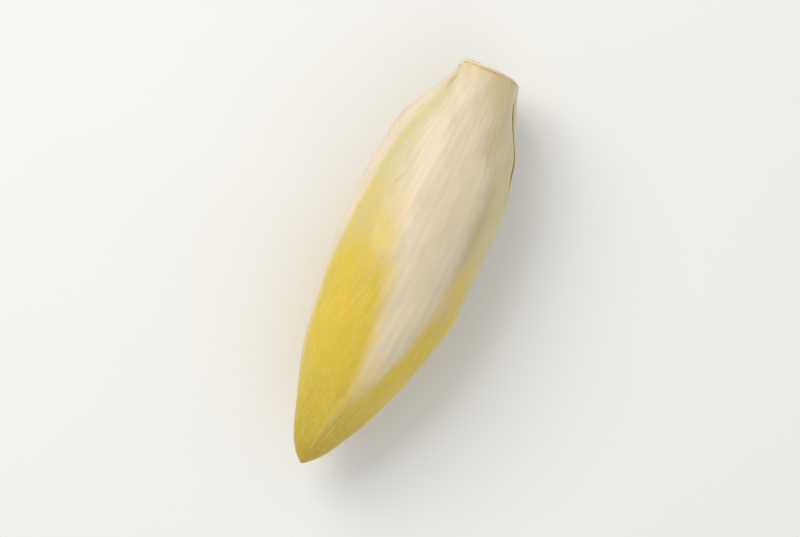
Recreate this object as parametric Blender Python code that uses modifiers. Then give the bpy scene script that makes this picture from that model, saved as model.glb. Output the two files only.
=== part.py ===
"""A Belgian endive head, lying on its side as picked and trimmed.

The head is a cone-shaped stem with leaves that grow from it in a spiral, each one wrapped over the
younger ones, and a small bud at its heart. Run it with blender --background --python part.py, or from
Blender's text editor.

The leaves are laid on from the outside in. A height field round the head, the room, holds how far from
the axis the next leaf may reach. Each leaf takes its thickness and a thin gap from the room, so no two
leaves meet.

Frame: +X runs along the head from the cut stem to the tip, +Z is up, and the head rests on Z = 0.
"""

import math

import bmesh
import bpy
import numpy as np

# The head, in metres.
HEAD_LENGTH = 0.140
BELLY_RADIUS = 0.0232
BELLY_AT = 0.44  # share of the length, from the leaves' lowest point
BASE_RADIUS = 0.0120
TIP_RADIUS = 0.0018
BASE_FULLNESS = 3.0
TIP_FULLNESS = 2.05
OVALNESS = 0.015  # how much wider than tall the head is, as a share of its radius
OVAL_TWIST = 0.8  # how far the oval turns between the belly and the tip, in radians
TIP_LEAN = 0.0035  # how far the tip leans to -Y
LEAN_FROM = 0.4  # share of the length
REST_DEPTH = 0.0010  # how much of the belly the surface under it flattens
CENTRE_ALONG = 0.0684  # the middle of the head's own box, along the head

# The stem inside, a cone with a cut face.
STEM_RADIUS = 0.0096
STEM_LENGTH = 0.050
STEM_TIP_RADIUS = 0.0008
STEM_TAPER = 1.35
STEM_STUB = 0.0010  # how far the cut face stands out of the leaves
STEM_BEVEL = 0.0006
STEM_RINGS = 12
STEM_SIDES = 32
MERGE_DISTANCE = 0.00001

# The bud over the stem's tip.
BUD_LENGTH = 0.022
BUD_RADIUS = 0.0024
BUD_SLIMMING = 0.45

# The leaves, numbered from the outermost in, in metres and degrees.
SPIRAL_STEP = 137.5
FIRST_LEAF_TURN = 12.0
LEAF_TWIST = 10.0
TWIST_CHANGE = 2.2  # how the twist changes from one leaf to the next, in radians
GAP_AT_BASE = 0.00036
GAP_AT_TIP = 0.00050
OUTER_HALF_WIDTH = 0.0285
HEART_HALF_WIDTH = 0.0090
HEART_LENGTH_SHARE = 0.62
SHORTENING = 1.5  # over 1 keeps the outer leaves long
WIDEST_WRAP = 120.0
LEAST_WRAP = 0.5

# A leaf's thickness: thick along the rib's foot, thin at the margins and the tip.
MARGIN_THICKNESS = 0.00055
RIB_THICKNESS = 0.0046
TIP_RIB_THICKNESS = 0.0011
RIB_FADE = 1.2  # how fast the rib thins towards the tip
RIB_NARROWING = 1.5  # how fast it thins towards the margins
HEART_THINNING = 0.48
LEAST_THICKNESS = 0.0003
LEAST_BASE_THICKNESS = 0.0011
LEAST_RADIUS = 0.0007

# A leaf's outline, in shares of its length and width.
WIDEST_AT = 0.45
BASE_WIDTH = 0.50
BASE_SWELL = 1.3
TIP_ROUNDNESS = 0.75
END_CROWDING = 0.5  # how much closer the mesh's rows stand at the ends, from 0 to 1
LAST_ROW_AT = 0.998
SHARP_ANGLE = 40.0  # faces that meet at more than this have a sharp edge

# The shallow valleys between a leaf's rib and its blades.
VALLEY_DEPTH = 0.00045
VALLEY_AT = 0.55
VALLEY_SPREAD = 0.2
VALLEY_END = 0.9

# The height field's grid and its smoothing.
STEP_ALONG = 0.001
STEPS_ROUND = 120
SMOOTHING_ROUNDS = 5
SMOOTHING_CELLS = 3.0
FOOT_SAMPLES = np.linspace(-1, 1, 9)

# Each ring of leaves from the outside in: its name, how many leaves, and its mesh steps across and up.
LEAF_RINGS = (
    ("outer_leaf", 6, 12, 16),
    ("middle_leaf", 8, 10, 12),
    ("heart_leaf", 5, 10, 11),
)
LEAF_COUNT = sum(ring[1] for ring in LEAF_RINGS)

AXIS_HEIGHT = BELLY_RADIUS * (1 - OVALNESS) - REST_DEPTH
FULL_TURN = 2 * math.pi
ALONG = np.arange(0, HEAD_LENGTH + STEP_ALONG / 2, STEP_ALONG)
TURNS = np.linspace(0, FULL_TURN, STEPS_ROUND, endpoint=False)

# The looks, in linear red, green, blue and alpha.
OUTER_COLOUR = (0.80, 0.71, 0.52, 1)
HEART_COLOUR = (0.82, 0.74, 0.38, 1)
STEM_COLOUR = (0.74, 0.62, 0.44, 1)
LEAF_ROUGHNESS = 0.45
STEM_ROUGHNESS = 0.6


def head_profile(along):
    """The head's outer radius at a distance along it."""
    share = np.clip(along / HEAD_LENGTH, 0, 1)
    below = np.clip(1 - share / BELLY_AT, 0, 1) ** BASE_FULLNESS
    above = np.clip((share - BELLY_AT) / (1 - BELLY_AT), 0, 1) ** TIP_FULLNESS
    to_base = BELLY_RADIUS - (BELLY_RADIUS - BASE_RADIUS) * below
    to_tip = BELLY_RADIUS - (BELLY_RADIUS - TIP_RADIUS) * above
    return np.where(share < BELLY_AT, to_base, to_tip)


def stem_profile(along):
    """The stem's radius at a distance along the head."""
    share = np.clip(along / STEM_LENGTH, 0, 1)
    return STEM_TIP_RADIUS + (STEM_RADIUS - STEM_TIP_RADIUS) * (1 - share**STEM_TAPER)


def gap(along):
    """The free gap between one leaf and the next: leaves lie looser towards the tip."""
    return GAP_AT_BASE + (GAP_AT_TIP - GAP_AT_BASE) * np.clip(along / HEAD_LENGTH, 0, 1)


def place(along, turn, radius):
    """The point at a distance along the head, a turn round it from straight up, and a radius.

    It is measured from the head's axis. The surface under the head presses the belly flat where the
    leaves would reach below it.
    """
    lean = TIP_LEAN * max((along / HEAD_LENGTH - LEAN_FROM) / (1 - LEAN_FROM), 0) ** 2
    height = max(radius * math.cos(turn), -AXIS_HEIGHT)
    return (along, radius * math.sin(turn) - lean, height)


def whole_head():
    """The room before any leaf is laid on: the head's profile round a slightly twisted oval."""
    twist = OVAL_TWIST * (ALONG / HEAD_LENGTH - BELLY_AT)
    oval = 1 - OVALNESS * np.cos(2 * (TURNS[None, :] - twist[:, None]))
    return head_profile(ALONG)[:, None] * oval


def blurred(field):
    """The field after a Gaussian blur that wraps round the head and stops at its ends."""
    reach = int(3 * SMOOTHING_CELLS)
    weights = np.exp(-0.5 * (np.arange(-reach, reach + 1) / SMOOTHING_CELLS) ** 2)
    weights /= weights.sum()
    longer = np.pad(field, ((reach, reach), (0, 0)), mode="reflect", reflect_type="odd")
    lengthwise = sum(w * longer[i : i + len(field)] for i, w in enumerate(weights))
    return sum(w * np.roll(lengthwise, i - reach, axis=1) for i, w in enumerate(weights))


def smooth_surface_in(room):
    """A smooth surface that stays inside the room."""
    surface = room
    for _ in range(SMOOTHING_ROUNDS):
        surface = np.minimum(surface, blurred(surface))
    return surface


def sampled(field, along, turn):
    """The field's value between its grid points."""
    row = along / STEP_ALONG
    column = (turn / FULL_TURN % 1) * STEPS_ROUND
    i = min(int(row), len(ALONG) - 2)
    j = int(column) % STEPS_ROUND
    next_j = (j + 1) % STEPS_ROUND
    part_row, part_column = row - i, column - int(column)
    low = field[i, j] * (1 - part_column) + field[i, next_j] * part_column
    high = field[i + 1, j] * (1 - part_column) + field[i + 1, next_j] * part_column
    return low * (1 - part_row) + high * part_row


def outline(up):
    """The share of its full width that a leaf has at a share of its length."""
    low = min(up / WIDEST_AT, 1)
    high = max((up - WIDEST_AT) / (1 - WIDEST_AT), 0)
    swell = math.sin(low * math.pi / 2) ** BASE_SWELL
    return (BASE_WIDTH + (1 - BASE_WIDTH) * swell) * (1 - high**2) ** TIP_ROUNDNESS


def valley(across, up):
    """How deep the valley beside the rib is. It starts above the base and fades before the tip."""
    sideways = np.exp(-(((np.abs(across) - VALLEY_AT) / VALLEY_SPREAD) ** 2))
    lengthwise = np.sin(np.clip(up / VALLEY_END, 0, 1) * math.pi)
    return VALLEY_DEPTH * sideways * lengthwise


class Leaf:
    """One leaf: where it grows from, which way it faces, how wide and how thick it is."""

    def __init__(self, number, room, lowest_start):
        self.youth = number / (LEAF_COUNT - 1)
        self.turn = math.radians(FIRST_LEAF_TURN + number * SPIRAL_STEP)
        self.twist = -math.radians(LEAF_TWIST) * math.cos(number * TWIST_CHANGE)
        self.half_width = OUTER_HALF_WIDTH + self.youth * (HEART_HALF_WIDTH - OUTER_HALF_WIDTH)
        self.outer = smooth_surface_in(room)
        self.start = self.find_start(lowest_start)
        longest = HEAD_LENGTH * (1 - (1 - HEART_LENGTH_SHARE) * self.youth**SHORTENING)
        self.end = self.find_end(longest)
        self.press_valleys()

    def find_start(self, lowest):
        """The first place from lowest up where the leaf's foot has room on the stem."""
        for along in ALONG[ALONG >= lowest - STEP_ALONG / 2]:
            wrap = self.half_width * BASE_WIDTH / sampled(self.outer, along, self.turn)
            floor = stem_profile(along) + gap(along) + LEAST_BASE_THICKNESS
            turns = self.turn + FOOT_SAMPLES * wrap
            if all(sampled(self.outer, along, turn) >= floor for turn in turns):
                return float(along)
        raise ValueError("there is no room for a leaf")

    def find_end(self, longest):
        """The furthest place, up to longest, where the rib still has room outside the axis."""
        end = self.start
        for along in ALONG[(ALONG >= self.start) & (ALONG <= longest)]:
            floor = max(stem_profile(along) + gap(along), LEAST_RADIUS)
            if sampled(self.outer, along, self.turn + self.twist) < floor + TIP_RIB_THICKNESS:
                break
            end = float(along)
        return end

    def share_up(self, along):
        """The share of the leaf's length at a distance along the head."""
        return min(max((along - self.start) / (self.end - self.start), 0), 1)

    def facing(self, up):
        """The turn of the leaf's rib, which twists a little on its way up."""
        return self.turn + self.twist * up

    def wrap(self, up):
        """How far the leaf reaches round the head to each side of its rib."""
        along = self.start + up * (self.end - self.start)
        radius = sampled(self.outer, along, self.facing(up))
        reach = math.degrees(self.half_width * outline(up) / radius)
        return math.radians(min(max(reach, LEAST_WRAP), WIDEST_WRAP))

    def across(self, up, extra=0.0):
        """Each grid turn's place across the leaf, from -1 to 1 between its margins."""
        away = (TURNS - self.facing(up) + math.pi) % FULL_TURN - math.pi
        return away / (self.wrap(up) + extra)

    def press_valleys(self):
        """Presses the valleys beside the rib into the leaf's outer face."""
        pressed = self.outer.copy()
        for i, along in enumerate(ALONG):
            up = self.share_up(along)
            pressed[i] -= valley(self.across(up), up)
        self.outer = pressed

    def thickness(self, across, up):
        """The leaf's thickness at a place on it."""
        rib = TIP_RIB_THICKNESS + (RIB_THICKNESS - TIP_RIB_THICKNESS) * (1 - up) ** RIB_FADE
        rib *= 1 - (1 - HEART_THINNING) * self.youth
        share = np.cos(np.clip(across, -1, 1) * math.pi / 2) ** RIB_NARROWING
        return MARGIN_THICKNESS + (rib - MARGIN_THICKNESS) * share

    def inner_radius(self, outer, along, across, up):
        """The radius of the leaf's inner face under a point of its outer face."""
        floor = np.minimum(max(stem_profile(along) + gap(along), LEAST_RADIUS), outer - LEAST_THICKNESS)
        return np.maximum(outer - self.thickness(across, up), floor)

    def room_inside(self, room):
        """The room that the leaf leaves to the younger ones."""
        left = room.copy()
        for i, along in enumerate(ALONG):
            if not self.start - STEP_ALONG <= along <= self.end + STEP_ALONG:
                continue
            up = self.share_up(along)
            across = self.across(up, extra=FULL_TURN / STEPS_ROUND)
            under = np.abs(across) <= 1
            inner = self.inner_radius(self.outer[i, under], along, across[under], up)
            left[i, under] = np.minimum(left[i, under], inner - gap(along))
        return left


def row_at(share):
    """Where along a leaf the row at a share of all rows stands."""
    eased = share * share * (3 - 2 * share)
    return LAST_ROW_AT * (share + END_CROWDING * (eased - share))


def build_leaf(name, leaf, across_steps, up_steps):
    """A leaf's mesh: a flat slab of one unit that is bent round the head."""
    slab = bmesh.new()
    bmesh.ops.create_grid(slab, x_segments=across_steps, y_segments=up_steps, size=1)
    raised = bmesh.ops.extrude_face_region(slab, geom=slab.faces[:])["geom"]
    outer_face = [part for part in raised if isinstance(part, bmesh.types.BMVert)]
    bmesh.ops.translate(slab, verts=outer_face, vec=(0, 0, 1))
    for corner in slab.verts:
        across = corner.co.x
        up = row_at((corner.co.y + 1) / 2)
        along = leaf.start + up * (leaf.end - leaf.start)
        turn = leaf.facing(up) + across * leaf.wrap(up)
        radius = sampled(leaf.outer, along, turn)
        if corner.co.z < 0.5:
            radius = float(leaf.inner_radius(radius, along, across, up))
        corner.co = place(along, turn, radius)
    bmesh.ops.recalc_face_normals(slab, faces=slab.faces)
    mesh = bpy.data.meshes.new(name)
    slab.to_mesh(mesh)
    slab.free()
    mesh.shade_smooth()
    mesh.set_sharp_from_angle(angle=math.radians(SHARP_ANGLE))
    return bpy.data.objects.new(name, mesh)


def build_stem():
    """The stem: a turned cone with a bevelled cut face at its foot."""
    heights = np.linspace(STEM_LENGTH - 2 * GAP_AT_BASE, 0, STEM_RINGS)
    flank = [(float(stem_profile(height)), float(height)) for height in heights]
    foot = [(STEM_RADIUS, STEM_BEVEL - STEM_STUB), (STEM_RADIUS - STEM_BEVEL, -STEM_STUB)]
    profile = [(0, flank[0][1]), *flank, *foot, (0, -STEM_STUB)]
    line = bmesh.new()
    corners = [line.verts.new((radius, 0, height)) for radius, height in profile]
    for upper, lower in zip(corners, corners[1:]):
        line.edges.new((upper, lower))
    mesh = bpy.data.meshes.new("stem")
    line.to_mesh(mesh)
    line.free()
    stem = bpy.data.objects.new("stem", mesh)
    screw = stem.modifiers.new("turn", "SCREW")
    screw.steps = STEM_SIDES
    screw.render_steps = STEM_SIDES
    screw.use_merge_vertices = True
    screw.merge_threshold = MERGE_DISTANCE
    stem.rotation_euler = (0, math.pi / 2, 0)
    return stem


def build_bud():
    """The bud over the stem's tip: a ball drawn out to a drop."""
    ball = bmesh.new()
    bmesh.ops.create_uvsphere(ball, u_segments=12, v_segments=10, radius=1)
    for corner in ball.verts:
        share = (corner.co.z + 1) / 2
        slimmer = 1 - BUD_SLIMMING * share
        corner.co.x *= BUD_RADIUS * slimmer
        corner.co.y *= BUD_RADIUS * slimmer
        corner.co.z = share * BUD_LENGTH
    mesh = bpy.data.meshes.new("heart_bud")
    ball.to_mesh(mesh)
    ball.free()
    mesh.shade_smooth()
    bud = bpy.data.objects.new("heart_bud", mesh)
    bud.location = (STEM_LENGTH, 0, 0)
    bud.rotation_euler = (0, math.pi / 2, 0)
    return bud


def finish(name, colour, roughness):
    """A plain matt material."""
    made = bpy.data.materials.new(name)
    made.use_nodes = True
    shader = made.node_tree.nodes["Principled BSDF"]
    shader.inputs["Base Color"].default_value = colour
    shader.inputs["Roughness"].default_value = roughness
    shader.inputs["Metallic"].default_value = 0.0
    made.diffuse_color = colour
    return made


def leaf_colour(youth):
    """A leaf's colour: cream on the outermost, yellower towards the heart."""
    return [outer + youth * (heart - outer) for outer, heart in zip(OUTER_COLOUR, HEART_COLOUR)]


def head_axis():
    """An empty at the foot of the head's axis, which carries the pieces."""
    axis = bpy.data.objects.new("head_axis", None)
    axis.location = (-CENTRE_ALONG, 0, AXIS_HEIGHT)
    return axis


def main():
    """Clears the scene and builds the head in a collection of its own."""
    for old in list(bpy.data.objects):
        bpy.data.objects.remove(old)
    head = bpy.data.collections.new("belgian_endive")
    bpy.context.scene.collection.children.link(head)
    axis = head_axis()
    head.objects.link(axis)
    pieces = [
        (build_stem(), finish("stem", STEM_COLOUR, STEM_ROUGHNESS)),
        (build_bud(), finish("heart_bud", HEART_COLOUR, LEAF_ROUGHNESS)),
    ]
    room = whole_head()
    start = 0.0
    number = 0
    for ring, count, across_steps, up_steps in LEAF_RINGS:
        for place_in_ring in range(count):
            leaf = Leaf(number, room, start)
            name = f"{ring}_{place_in_ring + 1}"
            made = build_leaf(name, leaf, across_steps, up_steps)
            pieces.append((made, finish(name, leaf_colour(leaf.youth), LEAF_ROUGHNESS)))
            room = leaf.room_inside(room)
            start = leaf.start
            number += 1
    for piece, look in pieces:
        piece.data.materials.append(look)
        piece.parent = axis
        head.objects.link(piece)


main()
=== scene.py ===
"""The looks of a Belgian endive head that lies on its side on a pale floor.

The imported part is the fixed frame. Each leaf is laid again in the place that its CAD solid has,
as a fine slab bent round the head, and then gets its rib, valleys, veins, thin wavy margins and
skin.

Frame: +X runs along the head from the cut stem to the tip, +Z is up, and the head rests on
Z = 0. Lengths are in metres. A place on a leaf is given by its place across the leaf, from -1 to
1 between the margins, and by its share of the leaf's length, from 0 at the foot to 1 at the tip.
"""

import sys
import logging
import math
from dataclasses import dataclass, field
from enum import Enum
from functools import cached_property
from typing import Iterable

import bmesh
import bpy
import numpy as np
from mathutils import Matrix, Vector


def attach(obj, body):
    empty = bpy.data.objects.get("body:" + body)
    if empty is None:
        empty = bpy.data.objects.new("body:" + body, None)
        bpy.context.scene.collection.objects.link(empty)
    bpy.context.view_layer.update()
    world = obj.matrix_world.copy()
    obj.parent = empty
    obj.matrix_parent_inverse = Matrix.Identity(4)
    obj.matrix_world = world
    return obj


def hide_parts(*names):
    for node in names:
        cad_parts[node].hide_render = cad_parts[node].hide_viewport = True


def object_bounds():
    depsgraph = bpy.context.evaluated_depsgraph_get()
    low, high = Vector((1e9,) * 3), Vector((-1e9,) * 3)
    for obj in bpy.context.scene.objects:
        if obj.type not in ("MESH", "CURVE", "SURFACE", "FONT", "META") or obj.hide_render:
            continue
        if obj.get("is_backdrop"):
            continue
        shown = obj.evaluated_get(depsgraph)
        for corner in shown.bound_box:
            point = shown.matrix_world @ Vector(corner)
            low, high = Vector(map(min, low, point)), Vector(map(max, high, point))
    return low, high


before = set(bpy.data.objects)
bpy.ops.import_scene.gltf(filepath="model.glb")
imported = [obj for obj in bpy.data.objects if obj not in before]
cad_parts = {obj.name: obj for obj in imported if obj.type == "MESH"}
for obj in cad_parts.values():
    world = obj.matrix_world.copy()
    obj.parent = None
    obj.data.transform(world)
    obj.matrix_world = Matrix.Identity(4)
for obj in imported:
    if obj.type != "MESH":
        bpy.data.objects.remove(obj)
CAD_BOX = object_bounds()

FULL_TURN = 2 * math.pi
MM = 0.001
NOISE_ROUGHNESS = 0.55
MIX_INPUTS, MIX_OUTPUT = (0, 6, 7), 2
CELL_FACTOR, ROW_FACTOR, SEED_FACTOR, MIX_FACTOR = 374761393, 668265263, 2147483647, 1274126177
LOW_32_BITS, LOW_16_BITS = 0xFFFFFFFF, 0xFFFF

log = logging.getLogger("endive")

Array = np.ndarray
Span = tuple[float, float]
Triple = tuple[float, float, float]
Colour = Triple


class Ring(Enum):
    """The rings of leaves, from the outside in, by the name their nodes start with."""

    OUTER = "outer_leaf"
    MIDDLE = "middle_leaf"
    HEART = "heart_leaf"


def smoothstep(low: float, high: float, value: Array) -> Array:
    """0 below low, 1 above high, and a smooth rise between."""
    share = np.clip((value - low) / (high - low), 0, 1)
    return share * share * (3 - 2 * share)


def band(rise: Span, fall: Span, value: Array) -> Array:
    """1 between a soft rise and a soft fall, and 0 outside them."""
    return smoothstep(*rise, value) * (1 - smoothstep(*fall, value))


def bump(value: Array, middle: float, width: float) -> Array:
    """A smooth bump, 1 at its middle and close to 0 from two widths away."""
    return np.exp(-(((value - middle) / width) ** 2))


def crests(angle: Array, sharpness: float) -> Array:
    """Waves from 0 to 1, one for each full turn of an angle."""
    return (0.5 + 0.5 * np.cos(angle)) ** sharpness


def half_turned(angle: Array) -> Array:
    """The same angle, from minus half a turn to half a turn."""
    return (angle + math.pi) % FULL_TURN - math.pi


def lattice(cells: Array, rows: Array, seed: int) -> Array:
    """A repeatable number for each whole cell and row.

    Args:
        cells: whole numbers along the first coordinate.
        rows: whole numbers along the second.
        seed: which set of numbers.

    Returns:
        Numbers from -1 to 1 in no order.
    """
    mixed = (cells * CELL_FACTOR + rows * ROW_FACTOR + seed * SEED_FACTOR) & LOW_32_BITS
    mixed = ((mixed ^ (mixed >> 13)) * MIX_FACTOR) & LOW_32_BITS
    return ((mixed ^ (mixed >> 16)) & LOW_16_BITS) / (LOW_16_BITS / 2) - 1


def eased(share: Array) -> Array:
    """A share of a cell after a step that is flat at both ends."""
    return share * share * share * (share * (6 * share - 15) + 10)


def noise(x: Array, y: Array, seed: int) -> Array:
    """Smooth value noise.

    Args:
        x: the first coordinate, in cells.
        y: the second coordinate, in cells.
        seed: which noise.

    Returns:
        Numbers from about -1 to 1 that change over a cell or so.
    """
    x, y = np.broadcast_arrays(np.asarray(x, float), np.asarray(y, float))
    i, j = np.floor(x).astype(np.int64), np.floor(y).astype(np.int64)
    p, q = eased(x - i), eased(y - j)
    low = lattice(i, j, seed) * (1 - p) + lattice(i + 1, j, seed) * p
    high = lattice(i, j + 1, seed) * (1 - p) + lattice(i + 1, j + 1, seed) * p
    return low * (1 - q) + high * q


@dataclass(frozen=True)
class Ripple:
    """An unevenness with its own strength, fineness and seed, which varies about a middle.

    Its fineness is in cells for each unit of the first and the second coordinate, and each
    further octave is twice as fine and half as strong.
    """

    strength: float
    fine_x: float
    fine_y: float
    seed: int
    octaves: int = 1
    middle: float = 0.0

    def at(self, x: Array, y: Array, number: int = 0) -> Array:
        """The unevenness at some places.

        Args:
            x: the first coordinate.
            y: the second coordinate.
            number: the leaf's number, so that no two leaves are alike.

        Returns:
            Numbers round the middle.
        """
        x, y, seed = x * self.fine_x, y * self.fine_y, self.seed + number
        rough = sum(noise(x * 2**n, y * 2**n, seed + n) / 2**n for n in range(self.octaves))
        return self.middle + self.strength * rough


@dataclass(frozen=True)
class HeadShape:
    """The whole head's sizes, as the CAD model has them."""

    length: float = 0.140
    belly_radius: float = 0.0232
    belly_at: float = 0.44
    base_radius: float = 0.0120
    tip_radius: float = 0.0018
    base_fullness: float = 3.0
    tip_fullness: float = 2.05
    ovalness: float = 0.015
    oval_twist: float = 0.8
    tip_lean: float = 0.0035
    lean_from: float = 0.4
    rest_depth: float = 0.0010
    centre_along: float = 0.0684
    stem_radius: float = 0.0096
    stem_length: float = 0.050
    stem_tip_radius: float = 0.0008
    stem_taper: float = 1.35
    stem_stub: float = 0.0010
    gap_at_base: float = 0.00036
    gap_at_tip: float = 0.00050
    open_ribs: Span = (12.0, 149.5)
    foot_sides: Span = (22.0, 66.0)
    foot_press: float = 0.40
    foot_reach: float = 0.024
    tip_closing: float = 0.94
    tip_closing_from: float = 0.1300
    tip_closing_to: float = 0.1380

    @property
    def axis_height(self) -> float:
        """How high the head's axis lies over the floor."""
        return self.belly_radius * (1 - self.ovalness) - self.rest_depth

    def profile(self, along: Array) -> Array:
        """The head's outline.

        Args:
            along: distance along the head from the leaves' lowest point.

        Returns:
            The outer radius there.
        """
        share = np.clip(along / self.length, 0, 1)
        below = np.clip(1 - share / self.belly_at, 0, 1) ** self.base_fullness
        above = np.clip((share - self.belly_at) / (1 - self.belly_at), 0, 1) ** self.tip_fullness
        to_base = self.belly_radius - (self.belly_radius - self.base_radius) * below
        to_tip = self.belly_radius - (self.belly_radius - self.tip_radius) * above
        return np.where(share < self.belly_at, to_base, to_tip)

    def stem_profile(self, along: Array) -> Array:
        """The stem's outline.

        Args:
            along: distance along the head from the leaves' lowest point.

        Returns:
            The stem's radius there.
        """
        share = np.clip(along / self.stem_length, 0, 1)
        slimmed = 1 - share**self.stem_taper
        return self.stem_tip_radius + (self.stem_radius - self.stem_tip_radius) * slimmed

    def gap(self, along: Array) -> Array:
        """The free gap between one leaf and the next."""
        share = np.clip(along / self.length, 0, 1)
        return self.gap_at_base + (self.gap_at_tip - self.gap_at_base) * share

    def clear_of_stem(self, along: Array) -> Array:
        """The least radius that is free of the stem."""
        return self.stem_profile(along) + self.gap(along)

    def drawn_in(self, along: Array, turn: Array, radius: Array) -> Array:
        """A radius after the leaves are pressed on the stem at their feet and closed at the tip.

        The order of the leaves stays as it is, because all are drawn in alike at one place.

        Args:
            along: distance along the head from the leaves' lowest point.
            turn: turn round the head from straight up, towards +Y.
            radius: distance from the head's axis.

        Returns:
            The new distance from the axis.
        """
        away = [np.abs(half_turned(turn - math.radians(rib))) for rib in self.open_ribs]
        beside = smoothstep(*(math.radians(t) for t in self.foot_sides), np.minimum(*away))
        pressed = (1 - self.foot_press) * beside * (1 - smoothstep(0, self.foot_reach, along))
        stem = self.stem_profile(along)
        radius = stem + (radius - stem) * (1 - pressed)
        span = self.tip_closing_to - self.tip_closing_from
        closing = np.clip((along - self.tip_closing_from) / span, 0, 1)
        return radius * np.sqrt(1 - self.tip_closing * closing**2)

    def round_axis(self, along: Array, turn: Array, radius: Array) -> Array:
        """Points round the head's straight axis, one row of x, y and z for each."""
        across, height = radius * np.sin(turn), self.axis_height + radius * np.cos(turn)
        return np.stack([along - self.centre_along, across, height], axis=-1)

    def place(self, along: Array, turn: Array, radius: Array) -> Array:
        """Points round the leaning head, never below the floor.

        Args:
            along: distance along the head from the leaves' lowest point.
            turn: turn round the head from straight up, towards +Y.
            radius: distance from the head's axis.

        Returns:
            One row of x, y and z for each point.
        """
        points = self.round_axis(along, turn, radius)
        rise = np.clip((along / self.length - self.lean_from) / (1 - self.lean_from), 0, None)
        points[..., 1] -= self.tip_lean * rise**2
        points[..., 2] = np.maximum(points[..., 2], 0)
        return points


@dataclass
class Room:
    """The height field round the head that the leaves are laid under."""

    shape: HeadShape
    step_along: float = 0.001
    steps_round: int = 120
    smoothing_rounds: int = 5
    smoothing_cells: float = 3.0
    along: Array = field(init=False)
    turns: Array = field(init=False)

    def __post_init__(self) -> None:
        """Lays out the grid."""
        self.along = np.arange(0, self.shape.length + self.step_along / 2, self.step_along)
        self.turns = np.linspace(0, FULL_TURN, self.steps_round, endpoint=False)

    def whole_head(self) -> Array:
        """The room before any leaf is laid.

        Returns:
            The head's profile round a slightly twisted oval.
        """
        shape = self.shape
        twist = shape.oval_twist * (self.along / shape.length - shape.belly_at)
        oval = 1 - shape.ovalness * np.cos(2 * (self.turns[None, :] - twist[:, None]))
        return shape.profile(self.along)[:, None] * oval

    def blurred(self, values: Array) -> Array:
        """A field after a Gaussian blur that wraps round the head and stops at its ends.

        Args:
            values: the field.

        Returns:
            The blurred field.
        """
        reach = int(3 * self.smoothing_cells)
        weights = np.exp(-0.5 * (np.arange(-reach, reach + 1) / self.smoothing_cells) ** 2)
        weights /= weights.sum()
        longer = np.pad(values, ((reach, reach), (0, 0)), mode="reflect", reflect_type="odd")
        lengthwise = sum(w * longer[i : i + len(values)] for i, w in enumerate(weights))
        return sum(w * np.roll(lengthwise, i - reach, axis=1) for i, w in enumerate(weights))

    def smooth_surface_in(self, values: Array) -> Array:
        """A smooth surface that stays inside a field.

        Args:
            values: the field.

        Returns:
            The surface, as a field.
        """
        surface = values
        for _ in range(self.smoothing_rounds):
            surface = np.minimum(surface, self.blurred(surface))
        return surface

    def cell(self, along: Array, turn: Array) -> tuple[Array, Array]:
        """The row and the column of a place, with their fractions."""
        row = np.asarray(along, float) / self.step_along
        return row, np.asarray(turn, float) / FULL_TURN % 1 * self.steps_round

    def linear(self, values: Array, along: Array, turn: Array) -> Array:
        """A field between its grid points, by straight lines, as the CAD model reads it.

        Args:
            values: the field.
            along: distances along the head.
            turn: turns round it.

        Returns:
            The field's values there.
        """
        row, column = self.cell(along, turn)
        i = np.clip(row.astype(int), 0, len(self.along) - 2)
        j = column.astype(int) % self.steps_round
        k = (j + 1) % self.steps_round
        p, q = row - i, column - np.floor(column)
        low = values[i, j] * (1 - q) + values[i, k] * q
        high = values[i + 1, j] * (1 - q) + values[i + 1, k] * q
        return low * (1 - p) + high * p

    def cubic(self, values: Array, along: Array, turn: Array) -> Array:
        """A field between its grid points, by smooth curves, so that no facets show.

        Args:
            values: the field.
            along: distances along the head.
            turn: turns round it.

        Returns:
            The field's values there.
        """
        row, column = self.cell(along, turn)
        i, j = np.floor(row).astype(int), np.floor(column).astype(int)
        total = 0.0
        for di, wi in zip(range(-1, 3), spline_weights(row - i)):
            rows = np.clip(i + di, 0, len(self.along) - 1)
            for dj, wj in zip(range(-1, 3), spline_weights(column - j)):
                total = total + wi * wj * values[rows, (j + dj) % self.steps_round]
        return total


def spline_weights(share: Array) -> tuple[Array, Array, Array, Array]:
    """The weights of a smoothing cubic spline.

    Args:
        share: shares of a cell.

    Returns:
        The weights of the four grid points round each place.
    """
    rest = 1 - share
    near = (4 - 6 * share**2 + 3 * share**3) / 6
    return rest**3 / 6, near, (4 - 6 * rest**2 + 3 * rest**3) / 6, share**3 / 6


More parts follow.
